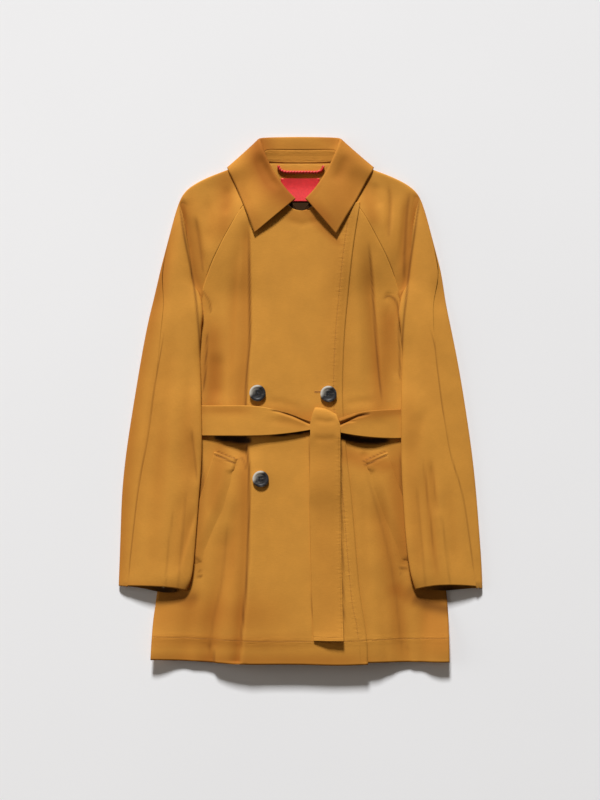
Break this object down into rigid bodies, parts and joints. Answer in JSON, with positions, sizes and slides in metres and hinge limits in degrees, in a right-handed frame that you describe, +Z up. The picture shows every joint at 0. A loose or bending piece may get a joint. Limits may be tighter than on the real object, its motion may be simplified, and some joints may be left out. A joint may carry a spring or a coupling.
{
  "type": "trench coat",
  "caption": "Short double-breasted raglan trench coat in mustard gabardine, laid flat, with pointed collar, tied self belt, welt pockets and a hanger loop",
  "frame": {"origin": "middle of the laid-out coat's outline, on the surface it lies on", "axes": "+Y from the hem to the collar, +Z up out of the front, -X toward the wearer's right"},
  "size_m": [0.5906, 0.8536, 0.0371],
  "materials": {
    "cloth": "woven cotton gabardine, matte",
    "label": "woven satin tape",
    "loop_cord": "twisted cord, slight sheen",
    "horn": "polished mottled horn with a paler rim"
  },
  "bodies": {
    "root": {"back_panel": "cloth", "front_left": "cloth", "front_right": "cloth", "sleeve_right_front": "cloth", "sleeve_right_back": "cloth", "sleeve_left_front": "cloth", "sleeve_left_back": "cloth", "collar": "cloth", "collar_stand": "cloth", "back_facing": "cloth", "neck_label": "label", "hanger_loop": "loop_cord", "pocket_welt_right": "cloth", "pocket_welt_left": "cloth", "belt_band": "cloth", "belt_knot": "cloth", "belt_tail": "cloth", "belt_end": "cloth", "button_upper_right": "horn", "button_upper_left": "horn", "button_lower_right": "horn", "button_lower_left": "horn"}
  },
  "joints": []
}
